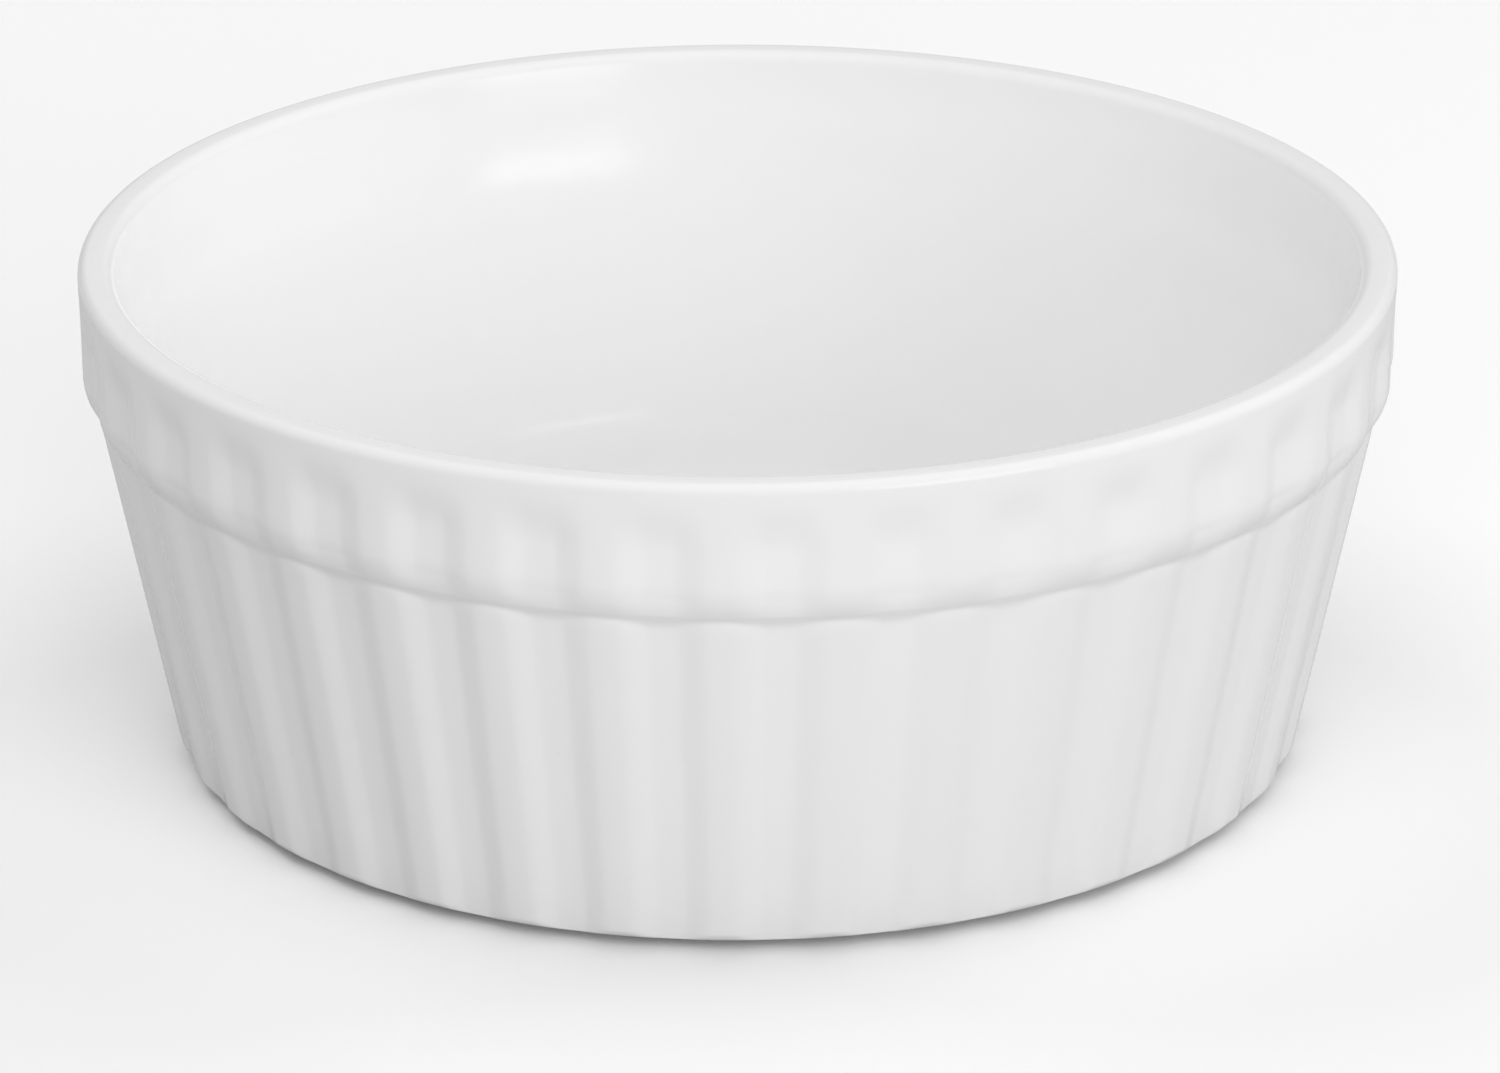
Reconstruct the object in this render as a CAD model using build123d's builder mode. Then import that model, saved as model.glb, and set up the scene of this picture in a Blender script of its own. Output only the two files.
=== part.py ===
from build123d import *
import math
import os

# A one-piece fluted porcelain ramekin, in millimetres. The origin is the middle
# of the plane that it stands on, and +Z points up out of the bowl. The dish is
# glazed all over, apart from the ring of bare clay that it stands on.

# Outside, measured over the ribs
dish_height = 47.0
lip_diameter = 120.0
band_height = 10.7
band_draft = 0.7
ledge_depth = 1.2
ledge_drop = 1.8
neck_gap = 0.5
neck_relief = 0.1
wall_draft = 11.6
base_corner_round = 1.3
base_corner_facets = 2

# Lip and bowl
lip_thickness = 3.15
lip_outer_round = 1.8
lip_outer_facets = 4
lip_inner_round = 1.2
lip_inner_facets = 3
bowl_draft = 11.5
bowl_corner_round = 11.0
bowl_corner_facets = 6
floor_thickness = 3.6

# Foot ring and the recess inside it
foot_height = 1.0
foot_inset = 4.5
foot_width = 3.0
foot_edge_cut = 0.3
recess_depth = 0.6

# Flutes: grooves with flat floors and sloping flanks, which leave flat-topped ribs
flute_count = 36
flute_depth = 0.62
groove_floor_share = 0.28
flank_share = 0.22
rib_corner_cut = 1.0
band_rib_overlap = 0.3
groove_top_drop = 1.9
overrun_share = 0.15

# Places that follow from the sizes above
lip_radius = lip_diameter / 2
band_foot_z = dish_height - band_height
band_foot_radius = lip_radius - band_height * math.tan(math.radians(band_draft))
ledge_foot_z = band_foot_z - ledge_drop
ledge_foot_radius = band_foot_radius - ledge_depth
rib_top_z = ledge_foot_z - neck_gap
neck_z = ledge_foot_z - neck_gap / 2
wall_slope_share = math.tan(math.radians(wall_draft))
wall_foot_radius = ledge_foot_radius - (ledge_foot_z - foot_height) * wall_slope_share
wall_top_radius = ledge_foot_radius - neck_gap * wall_slope_share
neck_radius = wall_top_radius - flute_depth - neck_relief
floor_z = foot_height + recess_depth + floor_thickness
bowl_top_radius = lip_radius - lip_thickness
bowl_floor_radius = bowl_top_radius - (dish_height - floor_z) * math.tan(math.radians(bowl_draft))
foot_outer_radius = wall_foot_radius - foot_inset
foot_inner_radius = foot_outer_radius - foot_width

# The grooves' section, the same all the way down
pitch_angle = 2 * math.pi / flute_count
mouth_angle = pitch_angle * (groove_floor_share / 2 + flank_share)
mouth_sag = lip_radius * (1 - math.cos(mouth_angle))
flank_run = lip_radius * pitch_angle * flank_share
flank_lean = flank_run / (flute_depth - mouth_sag)
cut_overrun = flute_depth * overrun_share
spread = (mouth_sag + cut_overrun) * flank_lean
run_out = spread + flank_run + cut_overrun


def rounding(before, corner, after, radius, facets):
    """The corner of a section, rounded with a few chords, so that the turned faces stay light."""
    tip = Vector(*corner)
    back = (Vector(*before) - tip).normalized()
    onward = (Vector(*after) - tip).normalized()
    half_corner = math.radians(back.get_angle(onward)) / 2
    centre = tip + (back + onward).normalized() * (radius / math.sin(half_corner))
    spoke = tip + back * (radius / math.tan(half_corner)) - centre
    step = math.copysign(180 - 2 * math.degrees(half_corner), onward.cross(back).Z) / facets
    return [centre + spoke.rotate(Axis.Z, step * i) for i in range(facets + 1)]


def turned_sector():
    """One groove's sector of the dish before fluting, astride +X."""
    half_pitch = pitch_angle / 2
    across = (math.cos(half_pitch), -math.sin(half_pitch), 0)
    edge = Plane(origin=(0, 0, 0), x_dir=across, z_dir=(across[1], -across[0], 0))
    floor_middle = (0, floor_z)
    bowl_corner = (bowl_floor_radius, floor_z)
    lip_inside = (bowl_top_radius, dish_height)
    lip_outside = (lip_radius, dish_height)
    band_foot = (band_foot_radius, band_foot_z)
    rib_top = (wall_top_radius, rib_top_z)
    wall_foot = (wall_foot_radius, foot_height)
    recess_edge = (foot_inner_radius, foot_height)
    with BuildPart() as sector:
        with BuildSketch(edge):
            with BuildLine():
                Polyline(
                    floor_middle,
                    *rounding(floor_middle, bowl_corner, lip_inside, bowl_corner_round, bowl_corner_facets),
                    *rounding(bowl_corner, lip_inside, lip_outside, lip_inner_round, lip_inner_facets),
                    *rounding(lip_inside, lip_outside, band_foot, lip_outer_round, lip_outer_facets),
                    band_foot,
                    (ledge_foot_radius, ledge_foot_z),
                    (neck_radius, neck_z),
                    rib_top,
                    *rounding(rib_top, wall_foot, recess_edge, base_corner_round, base_corner_facets),
                    recess_edge,
                    (foot_inner_radius, foot_height + recess_depth),
                    (0, foot_height + recess_depth),
                    close=True,
                )
            make_face()
        revolve(axis=Axis.Z, revolution_arc=math.degrees(pitch_angle))
    return sector.part


def groove(low_end, high_end, *half_outlines):
    """A groove's cutter on the +X side, along the crest line from low_end to high_end, given as (radius, z)."""
    run = high_end[0] - low_end[0]
    rise = high_end[1] - low_end[1]
    with BuildPart() as upright:
        for half_outline in half_outlines:
            with BuildSketch():
                with BuildLine():
                    Polyline(*half_outline, *[(-x, y) for x, y in reversed(half_outline)], close=True)
                make_face()
            extrude(amount=flute_depth + cut_overrun, taper=math.degrees(math.atan(flank_lean)))
    crest = Plane(origin=(low_end[0], 0, low_end[1]), x_dir=(0, -1, 0), z_dir=(-rise, 0, run))
    with BuildPart() as placed:
        with Locations(crest.offset(-cut_overrun).location):
            add(upright.part)
    return placed.part


def wall_groove():
    """Cutter of the flaring wall's groove, open at the base and at the neck, where it cuts the ribs' corners."""
    length = math.hypot(wall_top_radius - wall_foot_radius, rib_top_z - foot_height)
    half_low = wall_foot_radius * mouth_angle + spread
    half_high = wall_top_radius * mouth_angle + spread
    widening_share = (half_high - half_low) / length
    channel = [
        (half_low - run_out * widening_share, -run_out),
        (half_high + run_out * widening_share, length + run_out),
    ]
    corners = [
        (half_high - run_out, length - rib_corner_cut - run_out),
        (half_high + rib_corner_cut + run_out, length + run_out),
    ]
    with BuildPart() as cutter:
        add(groove((wall_foot_radius, foot_height), (wall_top_radius, rib_top_z), channel, corners))
        split(bisect_by=Plane.XY.offset(neck_z), keep=Keep.BOTTOM)
    return cutter.part


def band_groove():
    """Cutter of the band's groove, closed under the lip and open through the ledge, where it cuts the ribs' corners."""
    half_width = band_foot_radius * mouth_angle + spread
    low_y = -ledge_drop - run_out
    corner_y = rib_corner_cut - band_rib_overlap
    channel = [
        (half_width, low_y),
        (half_width, band_height - groove_top_drop + cut_overrun * flank_lean),
    ]
    corners = [
        (half_width + corner_y - low_y, low_y),
        (half_width - run_out, corner_y + run_out),
    ]
    return groove((band_foot_radius, band_foot_z), (lip_radius, dish_height), channel, corners)


os.makedirs("parts", exist_ok=True)

# One groove's sector of the glazed dish
with BuildPart() as fluted_sector:
    add(turned_sector())
    add(wall_groove(), mode=Mode.SUBTRACT)
    add(band_groove(), mode=Mode.SUBTRACT)

# The dish: the sector repeated, with a rib on +X
with BuildPart() as porcelain_body:
    with PolarLocations(0, flute_count, start_angle=math.degrees(pitch_angle / 2)):
        add(fluted_sector.part)
porcelain_body.part.label = "porcelain_body"

# The bare clay ring that it stands on
with BuildPart() as foot_ring:
    with BuildSketch(Plane.XZ):
        with BuildLine():
            Polyline(
                (foot_inner_radius, foot_height),
                (foot_inner_radius, foot_edge_cut),
                (foot_inner_radius + foot_edge_cut, 0),
                (foot_outer_radius - foot_edge_cut, 0),
                (foot_outer_radius, foot_edge_cut),
                (foot_outer_radius, foot_height),
                close=True,
            )
        make_face()
    revolve(axis=Axis.Z)
foot_ring.part.label = "foot_ring"

export_step(porcelain_body.part, "parts/porcelain_body.step")
export_step(foot_ring.part, "parts/foot_ring.step")
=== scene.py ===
import math

import bpy
import numpy as np
from mathutils import Euler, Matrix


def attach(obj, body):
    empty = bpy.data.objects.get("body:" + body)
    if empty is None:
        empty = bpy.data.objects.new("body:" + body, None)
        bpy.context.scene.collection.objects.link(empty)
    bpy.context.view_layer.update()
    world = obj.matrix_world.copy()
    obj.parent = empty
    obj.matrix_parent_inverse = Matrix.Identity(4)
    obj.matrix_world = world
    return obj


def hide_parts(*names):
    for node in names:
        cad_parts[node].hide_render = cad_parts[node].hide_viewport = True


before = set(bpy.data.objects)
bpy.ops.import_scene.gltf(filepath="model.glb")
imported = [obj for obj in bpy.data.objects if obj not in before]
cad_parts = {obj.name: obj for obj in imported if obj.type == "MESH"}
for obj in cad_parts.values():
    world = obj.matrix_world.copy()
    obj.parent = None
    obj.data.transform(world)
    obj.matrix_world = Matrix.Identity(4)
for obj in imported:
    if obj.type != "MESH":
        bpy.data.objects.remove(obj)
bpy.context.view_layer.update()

# A fluted porcelain ramekin, glazed all over but for the ring of bare clay that it stands on.
# Lengths of the dish are in millimetres, and its meshes are scaled to metres when they are made.
# They are the solids' lengths, but the lip's outer edge is crisper here, the ledge and the ends of
# the ribs beside it are softer, and the band's grooves die out under the lip.
MM = 0.001

# Lip and bowl
DISH_HEIGHT = 47.0
LIP_RADIUS = 60.0
LIP_THICKNESS = 3.15
LIP_OUTER_ROUND = 0.9
LIP_INNER_ROUND = 1.2
BOWL_DRAFT_DEG = 11.5
BOWL_FLOOR_Z = 5.2
BOWL_ROUND = 11.0

# Outside, measured over the ribs. It is the band alone from BAND_ALONE_ABOVE over the band's foot,
# and the last size here is how far the pooled glaze, with its painted light, reaches into the rounding at
# the base.
BAND_HEIGHT = 10.7
BAND_DRAFT_DEG = 0.7
BAND_ALONE_ABOVE = 2.0
LEDGE_DEPTH = 1.2
LEDGE_DROP = 1.8
LEDGE_LOWERED = 0.3
LEDGE_SOFTNESS = 1.1
LEDGE_FILLET = 0.2
WALL_DRAFT_DEG = 11.6
BASE_ROUND = 1.3
BASE_SOFTNESS = 0.12
BASE_POOL_AND_PAINTED_LIGHT_REACH = 0.3

# Foot ring, and the slightly domed recess inside it
FOOT_HEIGHT = 1.0
FOOT_INSET = 4.5
FOOT_WIDTH = 3.0
FOOT_EDGE_ROUND = 0.4
RECESS_DEPTH = 0.6
RECESS_DOME = 0.06

# Flutes: grooves with flat floors and soft flanks, which leave flat-topped ribs with rounded corners
FLUTE_COUNT = 36
FLUTE_DEPTH = 0.62
CREST_SHARE = 0.28
FLANK_SHARE = 0.22
FLANK_SOFTNESS = 0.35
RIB_CORNER = 1.1
RIB_CORNER_LIMIT_SHARE = 0.9
WALL_RIB_TOP_DROP = 0.9
BAND_RIB_OVERHANG = 1.6
BAND_GROOVE_TOP_DROP = 1.7
BAND_GROOVE_FADE = 4.6
LEDGE_GROOVE_LOSS_SHARE = 0.55

# The bowl's wall follows the ledge outside it in a soft swell
SWELL_Z = 37.0
SWELL_RISE = 0.09
SWELL_REACH = 1.2
SWELL_LOW_Z = 33.0
SWELL_HIGH_Z = 41.0

# The glaze's rolled edge on each side of the foot, as its gap to the foot and its drop below the base.
# A gap below 0 lies inside the foot, and a drop below 0 in the recess.
OUTER_BEAD = (
    (1.6, 0), (0.75, 0), (0.5, 0.02), (0.3, 0.08),
    (0.17, 0.19), (0.1, 0.3), (0.04, 0.37), (-0.06, 0.38), (-0.3, 0.05),
)
INNER_BEAD = (
    (-0.3, 0.05), (-0.06, 0.38), (0.04, 0.37), (0.09, 0.3), (0.12, 0.1),
    (0.17, -0.12), (0.3, -0.36), (0.55, -0.52), (0.95, -0.59), (2.2, -RECESS_DEPTH),
)

# The unevenness of that edge: the share of each wave, how often it goes round the dish, and where it starts
BEAD_WAVES = ((0.45, 5, 0.7), (0.3, 11, 2.1), (0.25, 23, 4.0))
BEAD_WAVE_HEIGHT = 0.07
BEAD_WAVE_MIN_DROP = 0.15

# Places that follow from the sizes above
BAND_SLOPE = math.tan(math.radians(BAND_DRAFT_DEG))
WALL_SLOPE = math.tan(math.radians(WALL_DRAFT_DEG))
BOWL_SLOPE = math.tan(math.radians(BOWL_DRAFT_DEG))
LEDGE_SLOPE = LEDGE_DEPTH / LEDGE_DROP
BAND_FOOT_Z = DISH_HEIGHT - BAND_HEIGHT
BAND_FOOT_RADIUS = LIP_RADIUS - BAND_HEIGHT * BAND_SLOPE
BAND_RIB_FOOT_Z = BAND_FOOT_Z - BAND_RIB_OVERHANG
BAND_GROOVE_TOP_Z = DISH_HEIGHT - BAND_GROOVE_TOP_DROP
LEDGE_FOOT_Z = BAND_FOOT_Z - LEDGE_DROP
LEDGE_FOOT_RADIUS = BAND_FOOT_RADIUS - LEDGE_DEPTH
WALL_RIB_TOP_Z = LEDGE_FOOT_Z - WALL_RIB_TOP_DROP
WALL_FOOT_RADIUS = LEDGE_FOOT_RADIUS - (LEDGE_FOOT_Z - FOOT_HEIGHT) * WALL_SLOPE
BOWL_TOP_RADIUS = LIP_RADIUS - LIP_THICKNESS
BOWL_FLOOR_RADIUS = BOWL_TOP_RADIUS - (DISH_HEIGHT - BOWL_FLOOR_Z) * BOWL_SLOPE
FOOT_OUTER_RADIUS = WALL_FOOT_RADIUS - FOOT_INSET
FOOT_INNER_RADIUS = FOOT_OUTER_RADIUS - FOOT_WIDTH
RECESS_Z = FOOT_HEIGHT + RECESS_DEPTH
PITCH = 2 * math.pi / FLUTE_COUNT

# How finely the meshes are divided. The columns are closest on the ribs' flanks, and the rows at the
# ledge: each stop is a height, and the spacing of the rows from there down to the next stop.
COLUMNS_OF_A_RIB_DEG = (
    -4.2, -3.75, -3.4, -2.9, -2.1, -1.6, -1.25, -0.9, 0, 0.9, 1.25, 1.6, 2.1, 2.9, 3.4, 3.75, 4.2, 5.0,
)
RIB_ANGLES = np.tile(np.radians(COLUMNS_OF_A_RIB_DEG), FLUTE_COUNT)
COLUMN_ANGLES = RIB_ANGLES + np.repeat(np.arange(FLUTE_COUNT) * PITCH, len(COLUMNS_OF_A_RIB_DEG))
UNDER_LIP_GAP = 0.12
UNDER_LIP_SPACING = 0.45
ROW_STOPS = ((40.6, 1.1), (37.4, 0.24), (35.2, 0.115), (32.9, 0.25), (31.2, 3.4))

# Rings of the bowl's floor, by radius, and of the recess, by radius and rise, and how many points
# the other stretches of the sections have
BOWL_FLOOR_RINGS = (5, 12, 20, 28, 35)
RECESS_RINGS = ((30, 0.03), (14, 0.05))
BOWL_ROUND_STEPS = 12
EDGE_ROUND_STEPS = 9
FOOT_EDGE_STEPS = 6
BELOW_SWELL_POINTS = 4
SWELL_POINTS = 15
ABOVE_SWELL_POINTS = 3
FOOT_FLAT_POINTS = 3

# Rare specks in what is fired: how rare they are, from 0 to 1, and how sharp their edges are
SPECK_RARITY = 0.985
SPECK_SHARPNESS = 40.0

# White glaze: its tones, how strongly its pools and specks show, its gloss, and its ripple in metres.
# The pools' tone is whiter, both for glaze pooled in the grooves and as painted light that lifts their
# shade.
GLAZE_TONES = ((0.875, 0.875, 0.873), (0.895, 0.895, 0.895))
POOLED_GLAZE_AND_PAINTED_LIGHT_TONE = (0.935, 0.938, 0.94)
POOLED_GLAZE_AND_PAINTED_LIGHT_SHARE = 0.4
GLAZE_SPECK_TONE = (0.5, 0.47, 0.44)
GLAZE_SPECK_SHARE = 0.08
GLAZE_ROUGHNESS = 0.12
GLAZE_CLOUD_ROUGHNESS = 0.07
GLAZE_IOR = 1.52
GLAZE_RIPPLE_SCALE = 160.0
GLAZE_GRAIN_SHARE = 0.12
GLAZE_RIPPLE_HEIGHT = 0.00006

# Bare clay: its tones, where and how strongly it is rubbed grey, its roughness, and its grain in metres
CLAY_TONES = ((0.66, 0.63, 0.575), (0.78, 0.755, 0.70))
RUBBED_CLAY_TONE = (0.52, 0.50, 0.47)
RUBBED_CLAY_ABOVE = 0.58
RUBBED_CLAY_SHARE = 0.35
CLAY_SPECK_TONE = (0.3, 0.26, 0.22)
CLAY_ROUGHNESS = 0.68
CLAY_GRAIN_ROUGHNESS = 0.2
CLAY_GRAIN_HEIGHT = 0.00012

# Floor: its tones to the eye, the tone that it lights the dish with, and its sheen
FLOOR_TONES = ((0.965, 0.965, 0.965), (0.985, 0.985, 0.985))
FLOOR_LIGHTING_TONE = (0.6, 0.6, 0.6)
FLOOR_TONE_SCALE = 6.0
FLOOR_ROUGHNESS = 0.8
FLOOR_SPECULAR = 0.2

# Fill lights, which the glaze doesn't mirror: name, azimuth and elevation in degrees, power in watts
LIGHT_DISTANCE = 1.5
LIGHT_AIM_Z = 0.025
FILL_SIZE = 1.0
FILL_LIGHTS = (
    ("front_high", 0, 48, 5.4),
    ("front_right_low", 30, 22, 4.0),
    ("front_low", 0, 22, 2.3),
    ("right_low", 120, 22, 5.0),
    ("right_high", 120, 48, 2.8),
    ("back_low", 180, 22, 1.4),
    ("back_left_high", -120, 48, 5.8),
)

# Lights that it mirrors: name, azimuth and elevation in degrees, width and height in metres, power in watts
MIRRORED_LIGHTS = (
    ("window", 38, 15, 0.8, 0.5, 2.3),
    ("overhead", 0, 84, 0.7, 0.7, 0.7),
)
SURROUNDINGS_STRENGTH = 0.35

# Floor and camera, in metres, degrees and, for the lens and the sensor, millimetres
FLOOR_RADIUS = 8
FLOOR_SIDES = 96
CAMERA_PLACE = (0.017341, -0.685078, 0.290933)
CAMERA_TURN_DEG = (68.3324, 0.0891, 1.3238)
CAMERA_LENS = 191.5
CAMERA_SENSOR = 36
CAMERA_CLIP_START = 0.01


# Curves that the sections are made of

def soft_positive(t, softness):
    """The number where it is above 0 and 0 where it is below, with the corner between them rounded."""
    return 0.5 * (t + np.sqrt(t * t + softness * softness))


def soft_ramp(t, softness):
    """Rises from 0 to 1 over t from 0 to 1, with both corners rounded."""
    rise = soft_positive(t, softness / 2) * (t > -softness)
    return 1 - soft_positive(1 - rise, softness / 2)


def soft_min(a, b, width):
    """The lesser of two numbers, with a rounding of about width where they cross."""
    mix = np.clip(0.5 + 0.5 * (b - a) / width, 0, 1)
    return b * (1 - mix) + a * mix - width * mix * (1 - mix)


def rounding(before, corner, after, radius, steps):
    """Points of the arc that rounds a corner of a section."""
    tip, a, b = (np.array(p, float) for p in (corner, before, after))
    a = (a - tip) / np.linalg.norm(a - tip)
    b = (b - tip) / np.linalg.norm(b - tip)
    half = math.acos(float(a @ b)) / 2
    middle = tip + (a + b) / np.linalg.norm(a + b) * radius / math.sin(half)
    first = tip + a * radius / math.tan(half) - middle
    turn = math.copysign(math.pi - 2 * half, b[0] * a[1] - b[1] * a[0])
    points = []
    for t in np.linspace(0, turn, steps + 1):
        c, s = math.cos(t), math.sin(t)
        points.append(tuple(middle + (first[0] * c - first[1] * s, first[0] * s + first[1] * c)))
    return points


def straight(start, end, count):
    """Points inside a straight run, without its ends."""
    return [tuple(np.array(start) + (np.array(end) - start) * k / (count + 1)) for k in range(1, count + 1)]


def spaced(stops, low):
    """Heights of rows from the first stop down to just above low."""
    heights = []
    ends = [height for height, _ in stops[1:]] + [low]
    for (top, spacing), end in zip(stops, ends):
        count = max(1, round((top - end) / spacing))
        heights += [top + (end - top) * k / count for k in range(count)]
    return heights


# The fluted outside

def rib_edge_distance(across, along, half_width):
    """How far a place lies outside the crest of a rib with rounded end corners."""
    corner = np.minimum(RIB_CORNER, half_width * RIB_CORNER_LIMIT_SHARE)
    x = across - half_width + corner
    y = along + corner
    outside = np.hypot(np.maximum(x, 0), np.maximum(y, 0))
    return outside + np.minimum(np.maximum(x, y), 0) - corner


def groove_depth(radius, rib_angle, along):
    """Depth of the groove beside a rib, from 0 on its crest to the full depth."""
    across = radius * np.abs(rib_angle)
    half_width = radius * PITCH * CREST_SHARE / 2
    flank = radius * PITCH * FLANK_SHARE
    return FLUTE_DEPTH * soft_ramp(rib_edge_distance(across, along, half_width) / flank, FLANK_SOFTNESS)


def band_groove_depth(z, rib_angle):
    """The band's grooves, which grow shallower and die out under the lip."""
    rise = np.clip((BAND_GROOVE_TOP_Z - z) / BAND_GROOVE_FADE, 0, 1)
    return groove_depth(BAND_FOOT_RADIUS, rib_angle, BAND_RIB_FOOT_Z - z) * rise * rise * (3 - 2 * rise)


def wall_radius(z):
    """Radius of the flaring wall over its ribs."""
    return WALL_FOOT_RADIUS + (z - FOOT_HEIGHT) * WALL_SLOPE


def wall_groove_depth(z, rib_angle):
    """The wall's grooves, which run out into the neck under the ledge."""
    return groove_depth(wall_radius(z), rib_angle, z - WALL_RIB_TOP_Z)


def outside_radius(z, rib_angle):
    """Radius of the fluted outside: the band, the ledge that it turns in at, and the flaring wall.
    The grooves run shallower over the ledge, so it hangs a little lower in them."""
    band = LIP_RADIUS - (DISH_HEIGHT - z) * BAND_SLOPE
    ledge = LEDGE_FOOT_RADIUS + (z - LEDGE_FOOT_Z + LEDGE_LOWERED) * LEDGE_SLOPE
    down_ledge = min(max((BAND_FOOT_Z - z) / (BAND_FOOT_Z - LEDGE_FOOT_Z), 0), 1)
    groove_share = 1 - LEDGE_GROOVE_LOSS_SHARE * down_ledge
    upper = soft_min(band, ledge, LEDGE_SOFTNESS) - band_groove_depth(z, rib_angle) * groove_share
    lower = wall_radius(z) - wall_groove_depth(z, rib_angle)
    return upper if z > BAND_FOOT_Z + BAND_ALONE_ABOVE else -soft_min(-upper, -lower, LEDGE_FILLET)


# Rows of the meshes. Each has its radii, heights and pooled glaze with its painted light, with a number for
# each column.

def level(value):
    """The same number for each column."""
    return np.full(len(COLUMN_ANGLES), float(value))


def plain_row(radius, z):
    """A round row, with no pooled glaze and no painted light."""
    return level(radius), level(z), level(0)


def fluted_row(z):
    """A row of the fluted outside, where the glaze pools in the grooves and painted light lifts their
    shade.
    """
    radii = outside_radius(z, RIB_ANGLES)
    return radii, level(z), (radii.max() - radii) / FLUTE_DEPTH


def base_row(radius, z):
    """A row of the rounding at the base, into which the grooves run out, with pooled glaze and painted
    light where they are deep.
    """
    depth = wall_groove_depth(z, RIB_ANGLES)
    setback = wall_radius(z) - radius
    radii = radius - soft_positive(depth - setback, min(BASE_SOFTNESS, setback))
    return radii, level(z), depth / FLUTE_DEPTH * (radii > radius - BASE_POOL_AND_PAINTED_LIGHT_REACH)


def under_row(radius, z):
    """A row of the underside, where the glaze's edge beside the foot is thick and a little uneven, and
    takes the full pooled tone, painted light included.
    """
    if z >= FOOT_HEIGHT - BEAD_WAVE_MIN_DROP:
        return plain_row(radius, z)
    wave = sum(share * np.sin(times * COLUMN_ANGLES + start) for share, times, start in BEAD_WAVES)
    return level(radius), level(z) + BEAD_WAVE_HEIGHT * wave, level(1)


# The two pieces

def turned_mesh(name, rows, middles=None):
    """A mesh whose rows go round the dish's axis and close on themselves, last to first. Where middles
    gives two heights, the first and last rows close on points of the axis at those heights instead."""
    radii, heights, pooled_and_painted_light = (np.array(values) for values in zip(*rows))
    x, y = radii * np.cos(COLUMN_ANGLES), radii * np.sin(COLUMN_ANGLES)
    points = np.stack([x, y, heights], -1).reshape(-1, 3)
    pooled_and_painted_light = pooled_and_painted_light.reshape(-1)
    grid = np.arange(radii.size).reshape(radii.shape)
    after = np.roll(grid, -1, axis=1)
    if middles is None:
        grid, after = np.vstack([grid, grid[:1]]), np.vstack([after, after[:1]])
    faces = np.stack([grid[:-1], grid[1:], after[1:], after[:-1]], -1).reshape(-1, 4).tolist()
    if middles is not None:
        first, last = len(points), len(points) + 1
        points = np.vstack([points, [(0, 0, z) for z in middles]])
        pooled_and_painted_light = np.append(pooled_and_painted_light, (0.0, 0.0))
        faces += [(first, a, b) for a, b in zip(grid[0].tolist(), after[0].tolist())]
        faces += [(last, b, a) for a, b in zip(grid[-1].tolist(), after[-1].tolist())]
    mesh = bpy.data.meshes.new(name)
    mesh.from_pydata((points * MM).tolist(), [], faces)
    # Groove depth, kept as the mask for pooled glaze and the painted light that lifts the grooves' shade
    mesh.attributes.new("glaze_pool_and_painted_light", "FLOAT", "POINT").data.foreach_set("value", pooled_and_painted_light.astype(np.float32))
    mesh.shade_smooth()
    piece = bpy.data.objects.new(name, mesh)
    bpy.context.scene.collection.objects.link(piece)
    return piece


def bowl_and_lip():
    """Section from near the bowl's middle, up its swelling wall and over the lip to the band."""
    bowl_corner = (BOWL_FLOOR_RADIUS, BOWL_FLOOR_Z)
    lip_inside = (BOWL_TOP_RADIUS, DISH_HEIGHT)
    lip_outside = (LIP_RADIUS, DISH_HEIGHT)
    band_foot = (BAND_FOOT_RADIUS, BAND_FOOT_Z)
    corner_arc = rounding((0, BOWL_FLOOR_Z), bowl_corner, lip_inside, BOWL_ROUND, BOWL_ROUND_STEPS)
    inner_arc = rounding(bowl_corner, lip_inside, lip_outside, LIP_INNER_ROUND, EDGE_ROUND_STEPS)
    outer_arc = rounding(lip_inside, lip_outside, band_foot, LIP_OUTER_ROUND, EDGE_ROUND_STEPS)
    swell_low = (corner_arc[-1][0] + (SWELL_LOW_Z - corner_arc[-1][1]) * BOWL_SLOPE, SWELL_LOW_Z)
    swell_high = (swell_low[0] + (SWELL_HIGH_Z - SWELL_LOW_Z) * BOWL_SLOPE, SWELL_HIGH_Z)
    points = [(radius, BOWL_FLOOR_Z) for radius in BOWL_FLOOR_RINGS]
    points += corner_arc + straight(corner_arc[-1], swell_low, BELOW_SWELL_POINTS)
    for radius, z in straight(swell_low, swell_high, SWELL_POINTS):
        points.append((radius + SWELL_RISE * math.tanh((z - SWELL_Z) / SWELL_REACH), z))
    return points + straight(swell_high, inner_arc[0], ABOVE_SWELL_POINTS) + inner_arc + outer_arc


def underside():
    """Section under the base: the glaze's edge on each side of the foot, and the recess."""
    points = [(FOOT_OUTER_RADIUS + gap, FOOT_HEIGHT - drop) for gap, drop in OUTER_BEAD]
    points += [(FOOT_INNER_RADIUS - gap, FOOT_HEIGHT - drop) for gap, drop in INNER_BEAD]
    return points + [(radius, RECESS_Z + rise) for radius, rise in RECESS_RINGS]


def make_dish():
    """The glazed dish: bowl, lip, fluted outside and underside in one closed skin."""
    inside = bowl_and_lip()
    wall_top = (LEDGE_FOOT_RADIUS, LEDGE_FOOT_Z)
    wall_foot = (WALL_FOOT_RADIUS, FOOT_HEIGHT)
    base_arc = rounding(wall_top, wall_foot, (FOOT_OUTER_RADIUS, FOOT_HEIGHT), BASE_ROUND, EDGE_ROUND_STEPS)
    under_lip = (inside[-1][1] - UNDER_LIP_GAP, UNDER_LIP_SPACING)
    rows = [plain_row(radius, z) for radius, z in inside]
    rows += [fluted_row(z) for z in spaced((under_lip, *ROW_STOPS), base_arc[0][1])]
    rows += [base_row(radius, z) for radius, z in base_arc]
    rows += [under_row(radius, z) for radius, z in underside()]
    return turned_mesh("glazed_dish", rows, middles=(BOWL_FLOOR_Z, RECESS_Z + RECESS_DOME))


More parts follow.
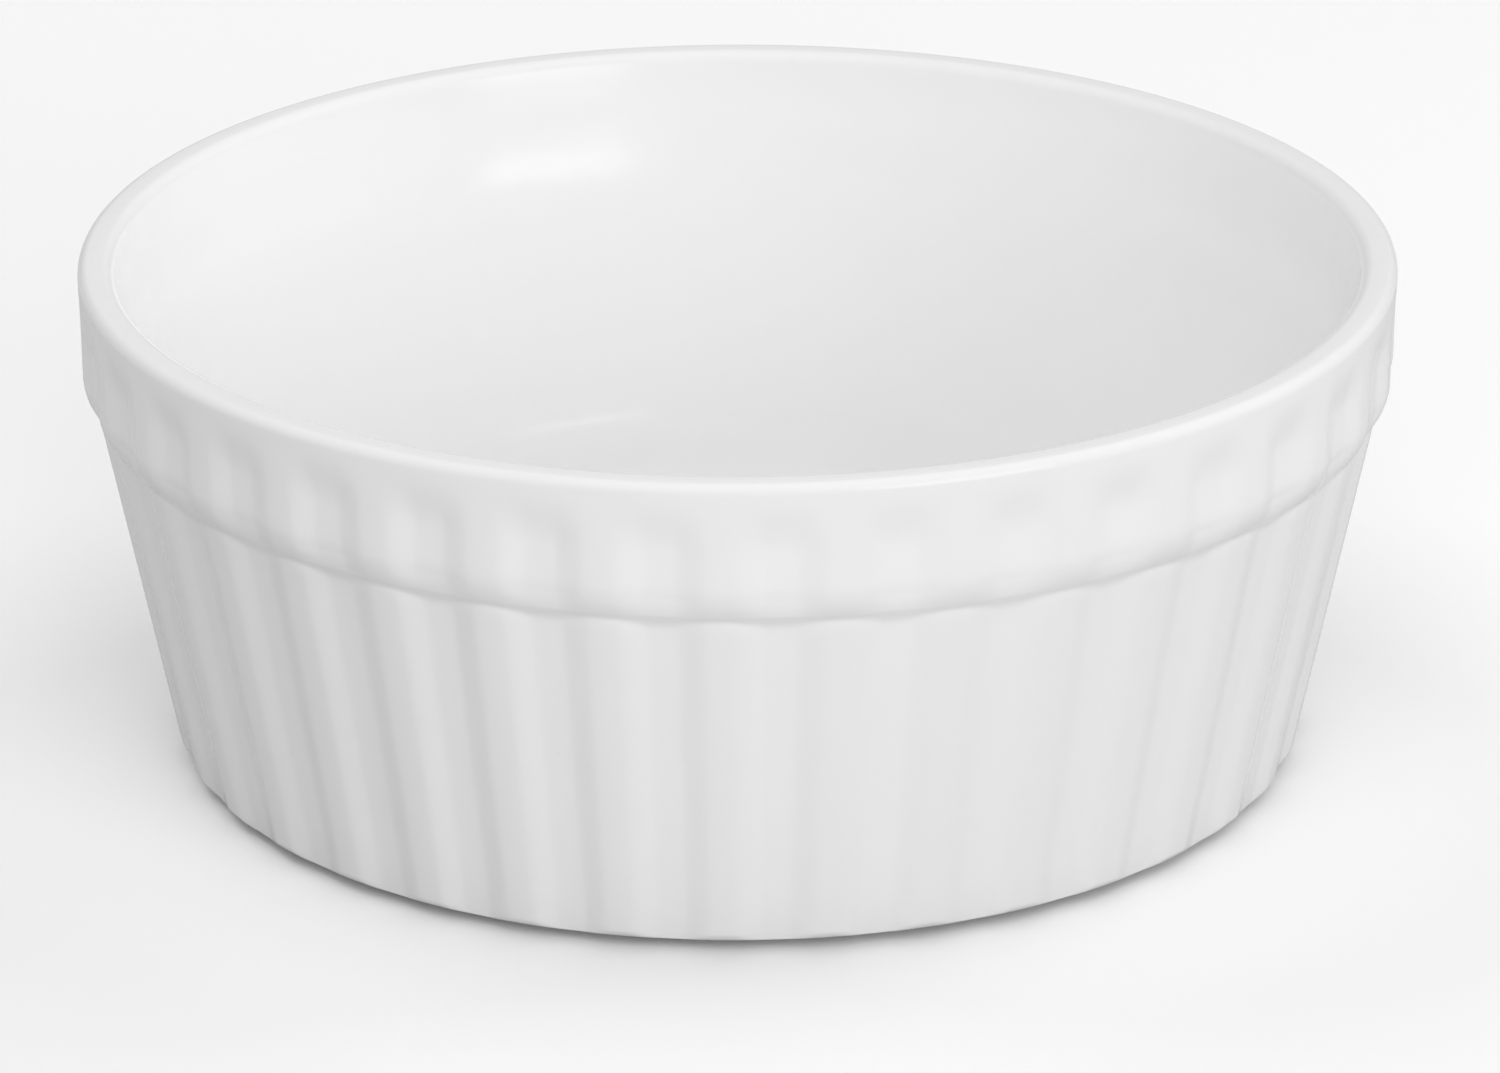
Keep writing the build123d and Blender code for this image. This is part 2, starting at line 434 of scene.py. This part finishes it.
def make_foot():
    """The bare ring under the dish, with worn edges."""
    outside_top = (FOOT_OUTER_RADIUS, FOOT_HEIGHT)
    outside = (FOOT_OUTER_RADIUS, 0)
    inside = (FOOT_INNER_RADIUS, 0)
    inside_top = (FOOT_INNER_RADIUS, FOOT_HEIGHT)
    flat_outside = (FOOT_OUTER_RADIUS - FOOT_EDGE_ROUND, 0)
    flat_inside = (FOOT_INNER_RADIUS + FOOT_EDGE_ROUND, 0)
    section = [outside_top] + rounding(outside_top, outside, inside, FOOT_EDGE_ROUND, FOOT_EDGE_STEPS)
    section += straight(flat_outside, flat_inside, FOOT_FLAT_POINTS)
    section += rounding(outside, inside, inside_top, FOOT_EDGE_ROUND, FOOT_EDGE_STEPS) + [inside_top]
    return turned_mesh("bare_foot", [plain_row(radius, z) for radius, z in section])


# Finishes

def math_node(tree, operation, *values, clamp=False):
    """A maths node whose inputs are numbers or other nodes' outputs."""
    node = tree.nodes.new("ShaderNodeMath")
    node.operation = operation
    node.use_clamp = clamp
    for socket, value in zip(node.inputs, values):
        if isinstance(value, (int, float)):
            socket.default_value = value
        else:
            tree.links.new(value, socket)
    return node.outputs[0]


def noise_node(tree, place, scale, detail, roughness=0.5):
    """Soft noise over a place. Its scale is a number or another node's output."""
    node = tree.nodes.new("ShaderNodeTexNoise")
    node.inputs["Detail"].default_value = detail
    node.inputs["Roughness"].default_value = roughness
    tree.links.new(place, node.inputs["Vector"])
    if isinstance(scale, (int, float)):
        node.inputs["Scale"].default_value = scale
    else:
        tree.links.new(scale, node.inputs["Scale"])
    return node.outputs["Fac"]


def object_place(tree):
    """Places in the piece's own frame, in metres."""
    return tree.nodes.new("ShaderNodeTexCoord").outputs["Object"]


def colour_between(tree, low, high, amount):
    """A colour from low to high, which are colours or other nodes' outputs, by another node's output."""
    node = tree.nodes.new("ShaderNodeMix")
    node.data_type = "RGBA"
    for socket, colour in ((node.inputs["A"], low), (node.inputs["B"], high)):
        if isinstance(colour, tuple):
            socket.default_value = (*colour, 1)
        else:
            tree.links.new(colour, socket)
    tree.links.new(amount, node.inputs["Factor"])
    return node.outputs["Result"]


def bumped(tree, shader, height, distance):
    """Raises the shader's surface by a height, over a distance in metres."""
    bump = tree.nodes.new("ShaderNodeBump")
    bump.inputs["Distance"].default_value = distance
    tree.links.new(height, bump.inputs["Height"])
    tree.links.new(bump.outputs["Normal"], shader.inputs["Normal"])


def firing_group():
    """How evenly a surface fired: slow clouds, fine grain and rare dark specks."""
    group = bpy.data.node_groups.new("firing", "ShaderNodeTree")
    for label in ("Cloud Scale", "Grain Scale", "Speck Scale", "Speck Size"):
        group.interface.new_socket(label, in_out="INPUT", socket_type="NodeSocketFloat")
    for label in ("Clouds", "Grain", "Specks"):
        group.interface.new_socket(label, in_out="OUTPUT", socket_type="NodeSocketFloat")
    given = group.nodes.new("NodeGroupInput")
    out = group.nodes.new("NodeGroupOutput")
    place = object_place(group)
    clouds = noise_node(group, place, given.outputs["Cloud Scale"], detail=3)
    grain = noise_node(group, place, given.outputs["Grain Scale"], detail=4, roughness=0.6)
    cells = group.nodes.new("ShaderNodeTexVoronoi")
    group.links.new(place, cells.inputs["Vector"])
    group.links.new(given.outputs["Speck Scale"], cells.inputs["Scale"])
    chosen = group.nodes.new("ShaderNodeSeparateColor")
    group.links.new(cells.outputs["Color"], chosen.inputs["Color"])
    rare = math_node(group, "GREATER_THAN", chosen.outputs["Red"], SPECK_RARITY)
    near = math_node(group, "SUBTRACT", given.outputs["Speck Size"], cells.outputs["Distance"])
    dot = math_node(group, "MULTIPLY", near, SPECK_SHARPNESS, clamp=True)
    group.links.new(clouds, out.inputs["Clouds"])
    group.links.new(grain, out.inputs["Grain"])
    group.links.new(math_node(group, "MULTIPLY", dot, rare), out.inputs["Specks"])
    return group


def placed_firing(tree, **scales):
    """The firing group in a material, as in cloud_scale=28.0 for its input Cloud Scale."""
    node = tree.nodes.new("ShaderNodeGroup")
    node.node_tree = FIRING
    for name, scale in scales.items():
        node.inputs[name.replace("_", " ").title()].default_value = scale
    return node.outputs["Clouds"], node.outputs["Grain"], node.outputs["Specks"]


def new_material(name):
    """A new material, with its node tree and its shader."""
    material = bpy.data.materials.new(name)
    material.use_nodes = True
    return material, material.node_tree, material.node_tree.nodes["Principled BSDF"]


def white_glaze():
    """Clear glossy glaze over white porcelain, whiter where it pools in the grooves, partly as painted
    light against their shade, a little wavy and rarely specked.
    """
    material, tree, shader = new_material("white_glaze")
    clouds, grain, specks = placed_firing(
        tree, cloud_scale=28.0, grain_scale=420.0, speck_scale=210.0, speck_size=0.06
    )
    pooled_and_painted_light = tree.nodes.new("ShaderNodeAttribute")
    pooled_and_painted_light.attribute_name = "glaze_pool_and_painted_light"
    fired = colour_between(tree, *GLAZE_TONES, clouds)
    pool_and_painted_light_amount = math_node(tree, "MULTIPLY", pooled_and_painted_light.outputs["Fac"], POOLED_GLAZE_AND_PAINTED_LIGHT_SHARE)
    # The pooled tone is whiter: glaze pooled in the grooves, and painted light that offsets the shade there
    toned = colour_between(tree, fired, POOLED_GLAZE_AND_PAINTED_LIGHT_TONE, pool_and_painted_light_amount)
    speck_amount = math_node(tree, "MULTIPLY", specks, GLAZE_SPECK_SHARE)
    specked = colour_between(tree, toned, GLAZE_SPECK_TONE, speck_amount)
    roughness = math_node(tree, "MULTIPLY_ADD", clouds, GLAZE_CLOUD_ROUGHNESS, GLAZE_ROUGHNESS)
    ripple = noise_node(tree, object_place(tree), GLAZE_RIPPLE_SCALE, detail=2)
    height = math_node(tree, "MULTIPLY_ADD", grain, GLAZE_GRAIN_SHARE, ripple)
    tree.links.new(specked, shader.inputs["Base Color"])
    tree.links.new(roughness, shader.inputs["Roughness"])
    shader.inputs["IOR"].default_value = GLAZE_IOR
    bumped(tree, shader, height, GLAZE_RIPPLE_HEIGHT)
    return material


def bare_porcelain():
    """Unglazed fired clay, fine and matte, a little grey where it has been set down."""
    material, tree, shader = new_material("bare_porcelain")
    clouds, grain, specks = placed_firing(
        tree, cloud_scale=70.0, grain_scale=2600.0, speck_scale=420.0, speck_size=0.12
    )
    fired = colour_between(tree, *CLAY_TONES, clouds)
    rubbed = math_node(tree, "GREATER_THAN", grain, RUBBED_CLAY_ABOVE)
    rubbed_amount = math_node(tree, "MULTIPLY", rubbed, RUBBED_CLAY_SHARE)
    worn = colour_between(tree, fired, RUBBED_CLAY_TONE, rubbed_amount)
    roughness = math_node(tree, "MULTIPLY_ADD", grain, CLAY_GRAIN_ROUGHNESS, CLAY_ROUGHNESS)
    tree.links.new(colour_between(tree, worn, CLAY_SPECK_TONE, specks), shader.inputs["Base Color"])
    tree.links.new(roughness, shader.inputs["Roughness"])
    bumped(tree, shader, grain, CLAY_GRAIN_HEIGHT)
    return material


def pale_floor():
    """The plain pale surface that the dish stands on, which lights the dish less than it shows."""
    material, tree, shader = new_material("pale_floor")
    clouds = noise_node(tree, object_place(tree), FLOOR_TONE_SCALE, detail=2)
    shown = colour_between(tree, *FLOOR_TONES, clouds)
    seen = tree.nodes.new("ShaderNodeLightPath").outputs["Is Camera Ray"]
    tree.links.new(colour_between(tree, FLOOR_LIGHTING_TONE, shown, seen), shader.inputs["Base Color"])
    shader.inputs["Roughness"].default_value = FLOOR_ROUGHNESS
    shader.inputs["Specular IOR Level"].default_value = FLOOR_SPECULAR
    return material


# Floor, light and camera

def add_floor(material):
    """A wide round floor, which isn't part of the dish."""
    mesh = bpy.data.meshes.new("floor")
    turns = np.linspace(0, 2 * math.pi, FLOOR_SIDES, endpoint=False)
    rim = [(FLOOR_RADIUS * math.cos(t), FLOOR_RADIUS * math.sin(t), 0) for t in turns]
    mesh.from_pydata(rim, [], [tuple(range(FLOOR_SIDES))])
    mesh.materials.append(material)
    floor = bpy.data.objects.new("floor", mesh)
    bpy.context.scene.collection.objects.link(floor)


def add_area_light(name, azimuth, elevation, width, height, power, mirrored):
    """A soft light that faces the dish. Azimuth 0 is on the camera's side, and it grows to the right.
    The glaze shows the light itself only where it is mirrored."""
    light = bpy.data.lights.new(name, "AREA")
    light.shape = "RECTANGLE"
    light.size = width
    light.size_y = height
    light.energy = power
    lamp = bpy.data.objects.new(name, light)
    lamp.visible_glossy = mirrored
    a, e = math.radians(azimuth), math.radians(elevation)
    away = np.array([math.sin(a) * math.cos(e), -math.cos(a) * math.cos(e), math.sin(e)])
    lamp.location = away * LIGHT_DISTANCE + (0, 0, LIGHT_AIM_Z)
    lamp.rotation_euler = Euler((math.pi / 2 - e, 0, a))
    bpy.context.scene.collection.objects.link(lamp)


def light_surroundings(strength):
    """Even white light from all round."""
    world = bpy.data.worlds.new("studio")
    world.use_nodes = True
    world.node_tree.nodes["Background"].inputs["Color"].default_value = (1, 1, 1, 1)
    world.node_tree.nodes["Background"].inputs["Strength"].default_value = strength
    bpy.context.scene.world = world


def add_camera():
    """The camera, at the photograph's viewing angle."""
    data = bpy.data.cameras.new("camera")
    data.sensor_width = CAMERA_SENSOR
    data.lens = CAMERA_LENS
    data.clip_start = CAMERA_CLIP_START
    camera = bpy.data.objects.new("camera", data)
    camera.location = CAMERA_PLACE
    camera.rotation_euler = Euler([math.radians(turn) for turn in CAMERA_TURN_DEG])
    bpy.context.scene.collection.objects.link(camera)
    bpy.context.scene.camera = camera


FIRING = firing_group()
dish = make_dish()
dish.data.materials.append(white_glaze())
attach(dish, "root")
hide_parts("porcelain_body")

foot = make_foot()
foot.data.materials.append(bare_porcelain())
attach(foot, "root")
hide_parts("foot_ring")

add_floor(pale_floor())
light_surroundings(SURROUNDINGS_STRENGTH)
for name, azimuth, elevation, power in FILL_LIGHTS:
    add_area_light(name, azimuth, elevation, FILL_SIZE, FILL_SIZE, power, mirrored=False)
for name, azimuth, elevation, width, height, power in MIRRORED_LIGHTS:
    add_area_light(name, azimuth, elevation, width, height, power, mirrored=True)
add_camera()
bpy.context.scene.view_settings.view_transform = "Standard"
